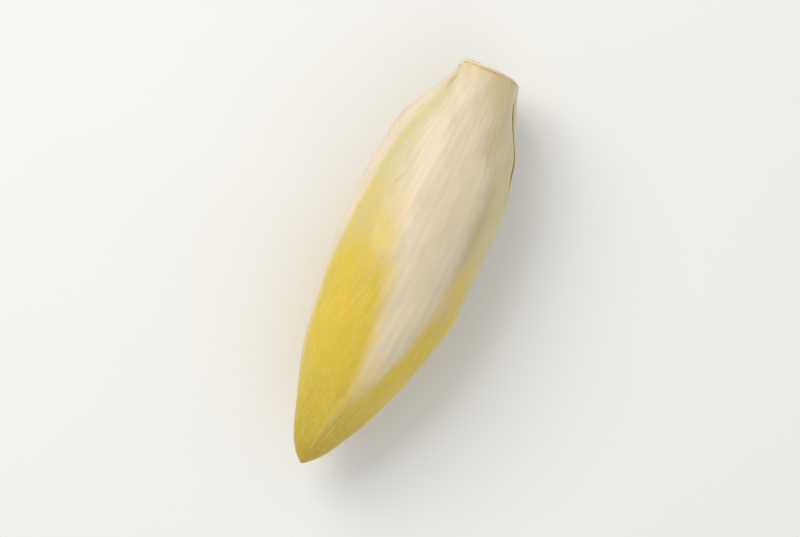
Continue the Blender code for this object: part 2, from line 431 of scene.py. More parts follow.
@dataclass
class Leaf:
    """One leaf: where it grows from, which way it faces, how wide and how thick it is.

    The sizes are the CAD model's. Turns are in degrees.
    """

    number: int
    count: int
    room: Room
    space: Array
    lowest_start: float
    spiral_step: float = 137.5
    first_turn: float = 12.0
    leaf_twist: float = 10.0
    twist_change: float = 2.2
    outer_half_width: float = 0.0285
    heart_half_width: float = 0.0090
    heart_length_share: float = 0.62
    shortening: float = 1.5
    widest_wrap: float = 120.0
    least_wrap: float = 0.5
    margin_thickness: float = 0.00055
    rib_thickness: float = 0.0046
    tip_rib_thickness: float = 0.0011
    rib_fade: float = 1.2
    rib_narrowing: float = 1.5
    heart_thinning: float = 0.48
    least_thickness: float = 0.0003
    least_base_thickness: float = 0.0011
    least_radius: float = 0.0007
    widest_at: float = 0.45
    base_width: float = 0.50
    base_swell: float = 1.3
    tip_roundness: float = 0.75
    valley_depth: float = 0.00045
    valley_at: float = 0.55
    valley_spread: float = 0.2
    valley_end: float = 0.9
    foot_samples: int = 9
    youth: float = field(init=False)
    turn: float = field(init=False)
    twist: float = field(init=False)
    half_width: float = field(init=False)
    smooth_outer: Array = field(init=False)
    pressed_outer: Array = field(init=False)
    start: float = field(init=False)
    end: float = field(init=False)

    def __post_init__(self) -> None:
        """Finds where the leaf starts and ends, and its outer face."""
        self.youth = self.number / (self.count - 1)
        self.turn = math.radians(self.first_turn + self.number * self.spiral_step)
        self.twist = -math.radians(self.leaf_twist) * math.cos(self.number * self.twist_change)
        slimming = self.heart_half_width - self.outer_half_width
        self.half_width = self.outer_half_width + self.youth * slimming
        self.smooth_outer = self.room.smooth_surface_in(self.space)
        self.start = self.find_start()
        self.end = self.find_end()
        shares = map(self.share_up, self.room.along)
        valleys = [self.valley(self.across_row(up), up) for up in shares]
        self.pressed_outer = self.smooth_outer - np.array(valleys)

    @property
    def length(self) -> float:
        """How far the leaf reaches along the head."""
        return self.end - self.start

    def find_start(self) -> float:
        """Looks up the stem for room for the leaf's foot.

        Returns:
            The first distance along the head that has it.
        """
        room, shape = self.room, self.room.shape
        for along in room.along[room.along >= self.lowest_start - room.step_along / 2]:
            wrap = self.half_width * self.base_width
            wrap = wrap / room.linear(self.smooth_outer, along, self.turn)
            turns = self.turn + np.linspace(-1, 1, self.foot_samples) * wrap
            free = room.linear(self.smooth_outer, np.full(self.foot_samples, along), turns)
            if np.all(free >= shape.clear_of_stem(along) + self.least_base_thickness):
                return float(along)
        raise ValueError("there is no room for a leaf")

    def find_end(self) -> float:
        """Looks along the rib for the place where its room ends.

        Returns:
            The last distance along the head where the rib lies free of the axis.
        """
        shorter = (1 - self.heart_length_share) * self.youth**self.shortening
        end, rows = self.start, self.room.along
        longest = self.room.shape.length * (1 - shorter)
        for along in rows[(rows >= self.start) & (rows <= longest)]:
            floor = max(self.room.shape.clear_of_stem(along), self.least_radius)
            radius = self.room.linear(self.smooth_outer, along, self.turn + self.twist)
            if radius < floor + self.tip_rib_thickness:
                break
            end = float(along)
        return end

    def share_up(self, along: float) -> float:
        """The share of the leaf's length at a distance along the head."""
        return min(max((along - self.start) / self.length, 0), 1)

    def outline(self, up: Array) -> Array:
        """The leaf's outline.

        Args:
            up: shares of its length.

        Returns:
            The share of its full width that it has there.
        """
        low = np.clip(up / self.widest_at, 0, 1)
        high = np.clip((up - self.widest_at) / (1 - self.widest_at), 0, 1)
        swell = np.sin(low * math.pi / 2) ** self.base_swell
        full = self.base_width + (1 - self.base_width) * swell
        return full * (1 - high**2) ** self.tip_roundness

    def valley(self, across: Array, up: Array) -> Array:
        """The CAD model's valley beside the rib.

        Args:
            across: places across the leaf.
            up: shares of its length.

        Returns:
            Its depth.
        """
        lengthwise = np.sin(np.clip(up / self.valley_end, 0, 1) * math.pi)
        sideways = bump(np.abs(across), self.valley_at, self.valley_spread)
        return self.valley_depth * sideways * lengthwise

    def facing(self, up: Array) -> Array:
        """The turn of the leaf's rib."""
        return self.turn + self.twist * up

    def wrap(self, up: Array) -> Array:
        """How far the leaf reaches round the head.

        Args:
            up: shares of its length.

        Returns:
            The turn from its rib to its margins, in radians.
        """
        along = self.start + up * self.length
        radius = self.room.linear(self.smooth_outer, along, self.facing(up))
        reach = self.half_width * self.outline(up) / radius
        return np.clip(reach, math.radians(self.least_wrap), math.radians(self.widest_wrap))

    def across_row(self, up: float, extra: float = 0.0) -> Array:
        """The place across the leaf of each of the grid's turns."""
        return half_turned(self.room.turns - self.facing(up)) / (self.wrap(up) + extra)

    def thickness(self, across: Array, up: Array) -> Array:
        """The leaf's thickness.

        Args:
            across: places across the leaf.
            up: shares of its length.

        Returns:
            The thickness there.
        """
        rib = (1 - up) ** self.rib_fade * (self.rib_thickness - self.tip_rib_thickness)
        rib = (rib + self.tip_rib_thickness) * (1 - (1 - self.heart_thinning) * self.youth)
        share = np.cos(np.clip(across, -1, 1) * math.pi / 2) ** self.rib_narrowing
        return self.margin_thickness + (rib - self.margin_thickness) * share

    def inner_radius(self, outer: Array, along: Array, across: Array, up: Array) -> Array:
        """The leaf's inner face under its outer one.

        Args:
            outer: the outer face's radius.
            along: distances along the head.
            across: places across the leaf.
            up: shares of its length.

        Returns:
            The inner face's radius, never inside the stem.
        """
        floor = np.maximum(self.room.shape.clear_of_stem(along), self.least_radius)
        floor = np.minimum(floor, outer - self.least_thickness)
        return np.maximum(outer - self.thickness(across, up), floor)

    def rows_under(self) -> Iterable[tuple[int, float, Array, Array, float]]:
        """The grid's rows that the leaf lies over.

        Returns:
            For each row its number, its distance along the head, which of its turns lie under
            the leaf, all its places across the leaf, and its share of the leaf's length.
        """
        step = self.room.step_along
        for i, along in enumerate(self.room.along):
            if self.start - step <= along <= self.end + step:
                up = self.share_up(along)
                across = self.across_row(up, extra=FULL_TURN / self.room.steps_round)
                yield i, along, np.abs(across) <= 1, across, up

    def space_inside(self) -> Array:
        """The room that is left for the younger leaves.

        Returns:
            The field under this leaf and the gap inside it.
        """
        left = self.space.copy()
        for i, along, under, across, up in self.rows_under():
            outer = self.pressed_outer[i, under]
            inner = self.inner_radius(outer, along, across[under], up)
            left[i, under] = np.minimum(left[i, under], inner - self.room.shape.gap(along))
        return left

    def covered(self) -> Array:
        """What the leaf covers.

        Returns:
            Whether each of the grid's places lies under the leaf.
        """
        mask = np.zeros(self.space.shape, bool)
        for i, _, under, _, _ in self.rows_under():
            mask[i] = under
        return mask


def in_scene(name: str, data: bpy.types.ID) -> bpy.types.Object:
    """Puts some data in the scene.

    Args:
        name: the new object's name.
        data: its mesh, light or camera.

    Returns:
        The object.
    """
    made = bpy.data.objects.new(name, data)
    bpy.context.scene.collection.objects.link(made)
    return made


def new_piece(name: str, mesh: bpy.types.Mesh, node: str) -> bpy.types.Object:
    """Puts a mesh in the scene in place of a CAD node.

    Args:
        name: the piece's name.
        mesh: its mesh, with its place in it.
        node: the CAD node that it stands for.

    Returns:
        The new object, which rides on the head's one body.
    """
    piece = in_scene(name, mesh)
    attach(piece, "root")
    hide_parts(node)
    log.info("%s: %d faces", name, len(mesh.polygons))
    return piece


def as_mesh(made: bmesh.types.BMesh, name: str) -> bpy.types.Mesh:
    """Ends the work on a shape.

    Args:
        made: the shape, which is freed.
        name: the name of its mesh.

    Returns:
        The mesh.
    """
    mesh = bpy.data.meshes.new(name)
    made.to_mesh(mesh)
    made.free()
    return mesh


def new_ball(name: str, steps_round: int, steps_along: int) -> bpy.types.Mesh:
    """A ball of one unit's radius, to draw out round the head's axis.

    Args:
        name: the name of its mesh.
        steps_round: its steps round the axis.
        steps_along: its steps along the axis.

    Returns:
        The mesh.
    """
    made = bmesh.new()
    steps = {"u_segments": steps_round, "v_segments": steps_along}
    bmesh.ops.create_uvsphere(made, **steps, radius=1)
    return as_mesh(made, name)


def corners(mesh: bpy.types.Mesh) -> Array:
    """Reads where a mesh's corners are.

    Args:
        mesh: the mesh.

    Returns:
        Three rows: every corner's x, y and z.
    """
    flat = np.empty(len(mesh.vertices) * 3)
    mesh.vertices.foreach_get("co", flat)
    return flat.reshape(-1, 3).T


def move_corners(mesh: bpy.types.Mesh, points: Array) -> None:
    """Moves a mesh's corners and shades it smooth.

    Args:
        mesh: the mesh.
        points: one row of x, y and z for each corner.
    """
    mesh.vertices.foreach_set("co", np.ascontiguousarray(points, np.float32).ravel())
    mesh.update()
    mesh.shade_smooth()


def store(mesh: bpy.types.Mesh, **kept: Array) -> None:
    """Keeps what the material reads at each corner.

    Args:
        mesh: the mesh.
        kept: by name, a number or a row of three for each corner.
    """
    for name, values in kept.items():
        kind, key = ("FLOAT", "value") if values.ndim == 1 else ("FLOAT_VECTOR", "vector")
        made = mesh.attributes.new(name, kind, "POINT")
        made.data.foreach_set(key, np.ascontiguousarray(values, np.float32).ravel())


@dataclass(frozen=True)
class RubbedSpot:
    """A small rubbed place on a leaf, in shares of its half width and its length."""

    across: float
    up: float
    width: float
    length: float
    slant: float
    strength: float


@dataclass(frozen=True)
class Character:
    """What one leaf has of its own: its fold with its painted shade, its rib, its margins, its
    foot and rubbed spots.

    The rib may start to one side and lean over further up. The foot may reach down to the cut
    between the feet of two older leaves, in a window of turns that is given in degrees.
    """

    # fold sets how deep the fold beside the rib is dented and how much painted shade darkens it
    fold: float = 0.25
    fold_up: float = 0.45
    fold_length: float = 0.16
    fold_side: float = 1.0
    rib_shift: float = 0.0
    rib_lean: float = 0.0
    late_side: float = 0.05
    lift: float = 1.0
    foot_drop: float = 0.0
    foot_window: Span = (0.0, 0.0)
    foot_rise: float = 0.06
    spots: tuple[RubbedSpot, ...] = ()


@dataclass(frozen=True)
class Rib:
    """The broad rib, its fine ridges, the valleys beside it and the fold at its edge."""

    at_base: float = 0.88
    at_tip: float = 0.04
    taper: float = 1.22
    edge: Span = (0.52, 1.38)
    uneven: tuple[Ripple, ...] = (Ripple(0.10, 3.0, 9.0, 11, octaves=3), Ripple(0.05, 40, 5, 11))
    ending: Span = (0.66, 0.86)
    ending_uneven: float = 0.04
    end_fade: float = 0.85
    shifted_until: Span = (0.15, 0.35)
    lean_rise: Span = (0.22, 0.62)
    lean_fall: Span = (0.72, 1.0)
    dome: float = 0.0003
    ridges: int = 21
    ridge_height: float = 0.00015
    ridge_middle: float = 0.4
    ridge_sharpness: float = 1.5
    ridge_fanning: float = 0.42
    ridge_drift: tuple[Ripple, ...] = (Ripple(0.9, 3, 4, 31), Ripple(0.35, 11, 7, 32))
    ridge_fade: Ripple = Ripple(0.45, 5, 6, 33, middle=0.55)
    ridges_on_blade: float = 0.25
    valley_depth: float = 0.00045
    valley_at: float = 1.12
    valley_width: float = 0.30
    valley_slimming: float = 0.5
    valley_ending: Span = (0.66, 0.90)
    valley_end_fade: float = 0.8
    # fold_at and fold_width also place the painted shade that darkens the fold
    fold_depth: float = 0.0010
    fold_at: float = 1.02
    fold_width: float = 0.19


@dataclass(frozen=True)
class Veins:
    """The side veins of the blades, and the small ones that branch off them."""

    height: float = 0.00015
    middle: float = 0.15
    step: float = 0.0082
    slope: float = 2.1
    curving: float = 6.0
    sharpness: float = 16.0
    root: float = 0.8
    starting: Span = (0.0, 0.0035)
    from_share: Span = (0.15, 0.45)
    drift: tuple[Ripple, ...] = (Ripple(0.34, 2.3, 6, 51), Ripple(0.10, 9, 22, 52))
    variety: float = 0.4
    variety_seed: int = 53
    fade: Ripple = Ripple(0.4, 5, 12, 54, middle=0.6)
    branch: float = 0.22
    branch_step: float = 0.0042
    branch_slant: float = 2.6
    branch_sharpness: float = 10.0
    branch_drift: Ripple = Ripple(0.6, 6, 15, 55)


@dataclass(frozen=True)
class Margins:
    """The thin margins: how far they stand off, and how ragged and how round they are."""

    lift: float = 0.0007
    lift_across: Span = (0.60, 1.0)
    lift_curl: float = 1.4
    lift_rise: Span = (0.08, 0.35)
    lift_fall: Span = (0.75, 1.0)
    lift_lost: float = 0.75
    lift_uneven: Ripple = Ripple(0.5, 3.7, 5, 71, middle=0.65)
    ruffle: float = 0.0004
    ruffle_across: Span = (0.80, 1.0)
    ruffle_wave: Ripple = Ripple(1.0, 3.7, 16, 72)
    nibble: float = 0.026
    nibble_from: Span = (0.02, 0.2)
    nibble_wave: Ripple = Ripple(1.0, 5.3, 11, 131, octaves=4)
    thickness: float = 0.00042
    least_thickness: float = 0.00008
    thin_across: Span = (0.70, 0.95)
    thin_up: Span = (0.93, 0.985)
    rounding: float = 0.035
    tip_rounding: float = 0.0135
    tip_rounding_from: float = 0.985
    roundness: float = 0.97


@dataclass(frozen=True)
class Foot:
    """The foot of a leaf, which is filled up to the stem, and its browned cut."""

    filled: Span = (0.0025, 0.0058)
    young_filled: Span = (0.0001, 0.0006)
    gap: float = 0.00004
    hold: float = 0.25
    window_edge: float = 14.0
    drop_until: float = 0.10
    brown: Ripple = Ripple(0.5, 9, 40, 111, octaves=3, middle=0.5)
    brown_until: float = 0.0016
    brown_least: float = 0.30
    brown_more: float = 0.40
    inner_browning: float = 0.25
    young_browning: float = 0.4


@dataclass
class LeafPiece:
    """The fine slab of one leaf, with its rib, veins, margins and marks.

    Everything that is worked out has one number for each corner of the slab.
    """

    leaf: Leaf
    node: str
    ring: Ring
    cover: Array
    steps_across: int
    steps_up: int
    character: Character = Character()
    rib: Rib = Rib()
    veins: Veins = Veins()
    margins: Margins = Margins()
    foot: Foot = Foot()
    margin_crowding: float = 0.6
    end_crowding: float = 0.7
    last_row: float = 0.998
    relief_rise: Span = (0.0, 0.06)
    relief_fall: Span = (0.90, 1.0)
    waviness: Ripple = Ripple(0.00034, 1.6, 7, 91, octaves=3)
    calm: float = 0.6
    calm_youth: Span = (0.25, 0.6)
    late_across: Span = (-0.2, 0.5)
    tired_across: Span = (0.975, 0.998)
    tired_patches: Span = (0.45, 0.85)
    tiredness: float = 0.4
    spot_patchiness: float = 0.4
    edge_across: Span = (0.9, 1.0)
    first_hood: int = 2
    hood_closing: float = 0.985
    hood_length: float = 0.0026
    sharp_angle: float = 55.0
    skin_step: float = 37.0
    mesh: bpy.types.Mesh = field(init=False)
    across: Array = field(init=False)
    up: Array = field(init=False)
    outside: Array = field(init=False)

    def __post_init__(self) -> None:
        """Draws the slab and spreads its corners over the leaf, closest at its edges."""
        self.mesh = self.slab()
        x, y, z = corners(self.mesh)
        share = (y + 1) / 2
        self.across = -(x + self.margin_crowding * (np.sin(x * math.pi / 2) - x))
        self.up = self.last_row * (share + self.end_crowding * (smoothstep(0, 1, share) - share))
        self.outside = z > 0.5

    def slab(self) -> bpy.types.Mesh:
        """Draws a grid up by one unit, with the faces pointing out.

        Returns:
            A flat closed slab.
        """
        made = bmesh.new()
        steps = {"x_segments": self.steps_across, "y_segments": self.steps_up}
        bmesh.ops.create_grid(made, **steps, size=1)
        raised = bmesh.ops.extrude_face_region(made, geom=made.faces[:])["geom"]
        tops = [part for part in raised if isinstance(part, bmesh.types.BMVert)]
        bmesh.ops.translate(made, verts=tops, vec=(0, 0, 1))
        bmesh.ops.recalc_face_normals(made, faces=made.faces)
        return as_mesh(made, self.node + "_leaf")

    @property
    def hooded(self) -> bool:
        """Whether the leaf's tip closes over the ones inside it."""
        return self.leaf.number >= self.first_hood

    def uneven(self, *ripples: Ripple) -> Array:
        """The sum of some ripples over the leaf."""
        return sum(ripple.at(self.across, self.up, self.leaf.number) for ripple in ripples)

    def uneven_margin(self, ripple: Ripple) -> Array:
        """A ripple along each of the two margins."""
        return ripple.at(np.sign(self.across), self.up, self.leaf.number)

    @cached_property
    def rib_edge(self) -> Array:
        """The share of the half width that the rib takes."""
        rib = self.rib
        return rib.at_tip + (rib.at_base - rib.at_tip) * (1 - self.up) ** rib.taper

    @cached_property
    def off_rib(self) -> Array:
        """The places across the leaf from the rib's middle.

        Returns:
            Half widths, 0 on the rib's middle.
        """
        own, rib = self.character, self.rib
        shift = own.rib_shift * (1 - smoothstep(*rib.shifted_until, self.up))
        return self.across + shift - own.rib_lean * band(rib.lean_rise, rib.lean_fall, self.up)

    @cached_property
    def rib_share(self) -> Array:
        """0 at the rib's middle, 1 at its edge."""
        return np.abs(self.off_rib) / self.rib_edge

    @cached_property
    def rib_mask(self) -> Array:
        """Where the rib is, with an uneven soft edge.

        Returns:
            1 on the rib and 0 on the blades.
        """
        uneven = self.uneven(*self.rib.uneven)
        ended = smoothstep(*self.rib.ending, self.up + self.rib.ending_uneven * uneven)
        on_blade = smoothstep(*self.rib.edge, self.rib_share + uneven)
        return (1 - self.rib.end_fade * ended) * (1 - on_blade)

    @cached_property
    def ridge_wave(self) -> Array:
        """The fine ridges that run up the rib and fan out into the blades.

        Returns:
            Their height, from 0 to 1.
        """
        rib = self.rib
        fanned = self.across * (1 - rib.ridge_fanning * self.up)
        angle = math.pi * rib.ridges * fanned + self.uneven(*rib.ridge_drift)
        return crests(angle, rib.ridge_sharpness) * self.uneven(rib.ridge_fade)

    @cached_property
    def vein_wave(self) -> Array:
        """The side veins that leave the rib at a steep angle and branch in the blades.

        Returns:
            Their height, from 0 to 1.
        """
        leaf, veins = self.leaf, self.veins
        side = np.where(self.off_rib > 0, 0.5, 0.0)
        from_rib = (np.abs(self.off_rib) - self.rib_edge * veins.root) * leaf.half_width
        bend = 1 + veins.curving * np.maximum(from_rib, 0)
        climb = self.up * leaf.length - veins.slope * from_rib * bend
        phase = climb / veins.step + side + self.uneven(*veins.drift)
        which, on_side = np.floor(phase + 0.5).astype(int), (side * 2).astype(int)
        varied = veins.variety * lattice(which, on_side, veins.variety_seed + leaf.number)
        fade = (1 - veins.variety + varied) * self.uneven(veins.fade)
        main = crests(FULL_TURN * phase, veins.sharpness) * fade
        slanted = phase * veins.branch_slant - from_rib / veins.branch_step
        slanted = slanted + self.uneven(veins.branch_drift)
        small = veins.branch * crests(FULL_TURN * slanted, veins.branch_sharpness)
        on_blade = smoothstep(*veins.starting, from_rib) * smoothstep(*veins.from_share, self.up)
        return on_blade * np.clip(main + small, 0, 1)

    @cached_property
    def fold_and_shade_mask(self) -> Array:
        """Where the shallow fold beside the rib is, which is dented into the face and painted with
        shade.

        Returns:
            Up to 1 in the fold, 0 away from it.
        """
        own = self.character
        lengthwise = bump(self.up, own.fold_up, own.fold_length)
        sideways = bump(self.rib_share, self.rib.fold_at, self.rib.fold_width)
        return own.fold * sideways * lengthwise * (np.sign(self.off_rib) == own.fold_side)

    @cached_property
    def lift(self) -> Array:
        """How far the margins stand off the head.

        Returns:
            The distance.
        """
        margins, outward = self.margins, np.abs(self.across)
        near = smoothstep(*margins.lift_across, outward) ** margins.lift_curl
        lost = margins.lift_lost * smoothstep(*margins.lift_fall, self.up)
        height = smoothstep(*margins.lift_rise, self.up) * (1 - lost)
        ruffle = self.uneven_margin(margins.ruffle_wave)
        ruffle = ruffle * smoothstep(*margins.ruffle_across, outward) ** 2
        free = near * margins.lift * self.uneven_margin(margins.lift_uneven)
        return self.character.lift * height * (free + margins.ruffle * ruffle)

    @cached_property
    def relief(self) -> Array:
        """How far the outer face stands off the smooth leaf.

        Returns:
            The distance, below 0 in the hollows.
        """
        rib, veins = self.rib, self.veins
        dome = rib.dome * (1 - np.clip(self.rib_share, 0, 1) ** 2)
        shallow = 1 - rib.valley_end_fade * smoothstep(*rib.valley_ending, self.up)
        shallow = (1 - rib.valley_slimming * self.up) * shallow
        valley = bump(self.rib_share, rib.valley_at, rib.valley_width)
        valley = -rib.valley_depth * valley * shallow
        fold = -rib.fold_depth * self.fold_and_shade_mask
        vein = veins.height * (self.vein_wave - veins.middle)
        ends = band(self.relief_rise, self.relief_fall, self.up)
        on_rib = rib.ridges_on_blade + (1 - rib.ridges_on_blade) * self.rib_mask
        ridges = rib.ridge_height * (self.ridge_wave - rib.ridge_middle) * on_rib
        ridges = ridges * (1 - smoothstep(*self.relief_fall, self.up))
        calmer = 1 - self.calm * smoothstep(*self.calm_youth, self.leaf.youth)
        slow = dome + valley + fold + self.uneven(self.waviness) + vein
        return calmer * (ends * slow + ridges)

    def ripeness(self) -> Array:
        """The share of the leaf's length as the colour reads it.

        Returns:
            The share, less where a side stayed pale for longer.
        """
        own = self.character
        late = smoothstep(*self.late_across, self.across * own.fold_side)
        return self.up - own.late_side * late * (1 - self.up)

    def bruises(self) -> Array:
        """The marks: the browned foot, rubbed spots and tired margins.

        Returns:
            How browned the skin is, from 0 to 1.
        """
        foot = self.foot
        patchy = self.uneven(foot.brown)
        cut = np.where(self.outside, 1.0, foot.inner_browning)
        cut = cut * (1.0 if self.leaf.start == 0 else foot.young_browning)
        marks = (1 - smoothstep(0.0, foot.brown_until, self.up * self.leaf.length)) * cut
        marks = marks * (foot.brown_least + foot.brown_more * patchy)
        tired = smoothstep(*self.tired_across, np.abs(self.across))
        marks = marks + tired * smoothstep(*self.tired_patches, patchy) * self.tiredness
        patchy = 1 - self.spot_patchiness + self.spot_patchiness * patchy
        for spot in self.character.spots:
            y = (self.up - spot.up) / spot.length
            x = (self.across - spot.across) / spot.width + spot.slant * y
            marks = marks + np.exp(-(x**2 + y**2)) * spot.strength * patchy
        return np.clip(marks, 0, 1)

    def foot_lowering(self, turn: Array) -> Array:
        """How far the foot reaches below its place on the stem, in its window of turns.

        Args:
            turn: the corners' turns round the head.

        Returns:
            The distance.
        """
        own, edge = self.character, self.foot.window_edge
        low, high = own.foot_window
        window = band((low, low + edge), (high - edge, high), np.degrees(turn) % 360)
        return own.foot_drop * window * (1 - smoothstep(0, self.foot.drop_until, self.up))

    @cached_property
    def laid(self) -> tuple[Array, Array]:
        """Where the corners lie round the head.

        Returns:
            Their distances along the head and their turns round it.
        """
        leaf, margins = self.leaf, self.margins
        along = leaf.start + self.up * leaf.length
        middle = leaf.room.cubic(leaf.smooth_outer, along, leaf.facing(self.up))
        broad_until = self.last_row - self.hood_length / leaf.length
        outline = leaf.outline(np.minimum(self.up, broad_until) if self.hooded else self.up)
        wrap = np.minimum(leaf.half_width * outline / middle, math.radians(leaf.widest_wrap))
        nibble = self.uneven_margin(margins.nibble_wave)
        nibble = nibble * smoothstep(*margins.nibble_from, self.up)
        turn = leaf.facing(self.up) + self.across * (wrap * (1 + margins.nibble * nibble))
        return along - self.foot_lowering(turn), turn

    def outer_face(self) -> Array:
        """The leaf's outer face under the older leaves.

        Returns:
            Its radius.
        """
        leaf, hold = self.leaf, self.foot.hold
        along, turn = self.laid
        smooth = leaf.room.cubic(leaf.smooth_outer, along, turn)
        if leaf.start > 0:
            held = smoothstep(0.0, self.character.foot_rise, self.up) * (1 - hold) + hold
            stem = leaf.room.shape.clear_of_stem(along)
            smooth = np.where(smooth > stem, stem + (smooth - stem) * held, smooth)
        outer = smooth + self.relief + self.lift
        return np.minimum(outer, leaf.room.cubic(self.cover, along, turn))

    def points(self) -> Array:
        """The corners' places.

        Returns:
            One row of x, y and z for each.
        """
        leaf, shape, margins, foot = self.leaf, self.leaf.room.shape, self.margins, self.foot
        across, up = self.across, self.up
        along, turn = self.laid
        outer = self.outer_face()
        edge = np.clip((np.abs(across) - 1 + margins.rounding) / margins.rounding, 0, 1)
        tip = np.clip((up - margins.tip_rounding_from) / margins.tip_rounding, 0, 1)
        rounding = np.sqrt(1 - margins.roundness * np.maximum(edge, tip) ** 2)
        at_margin = smoothstep(*margins.thin_across, np.abs(across))
        at_margin = np.maximum(at_margin, smoothstep(*margins.thin_up, up))
        pressed = leaf.room.cubic(leaf.pressed_outer, along, turn)
        inner = leaf.inner_radius(pressed, along, across, up) + self.lift
        thin = outer - margins.thickness * rounding
        inner = inner * (1 - at_margin) + thin * at_margin
        inner = np.minimum(inner, outer - margins.least_thickness * rounding)
        outer = outer - margins.thickness * (1 - rounding) / 2 * at_margin
        radius = shape.drawn_in(along, turn, np.where(self.outside, outer, inner))
        if self.hooded:
            closed = np.clip(1 - (self.last_row - up) * leaf.length / self.hood_length, 0, 1)
            radius = radius * np.sqrt(1 - self.hood_closing * closed**2)
        filled = foot.filled if leaf.start == 0 else foot.young_filled
        fill = (1 - smoothstep(*filled, along - leaf.start)) * ~self.outside
        radius = radius + (shape.stem_profile(along) + foot.gap - radius) * fill
        return shape.place(along, turn, radius)

    def build(self) -> bpy.types.Object:
        """Bends the slab round the head and keeps what its skin needs.

        Returns:
            The leaf.
        """
        leaf, mesh, up = self.leaf, self.mesh, self.up
        move_corners(mesh, self.points())
        mesh.set_sharp_from_angle(angle=math.radians(self.sharp_angle))
        sideways = self.across * leaf.half_width * leaf.outline(up) / MM
        shifted = np.full(len(up), self.skin_step * leaf.number)
        store(
            mesh,
            skin=np.stack([sideways, up * leaf.length / MM, shifted], -1),
            up=self.ripeness(),
            rib=self.rib_mask,
            ridge=self.ridge_wave,
            vein=self.vein_wave,
            bruise=self.bruises(),
            edge=smoothstep(*self.edge_across, np.abs(self.across)),
            # the fold attribute is painted shade in the fold beside the rib
            fold=self.fold_and_shade_mask,
        )
        return new_piece(self.node + "_leaf", mesh, self.node)


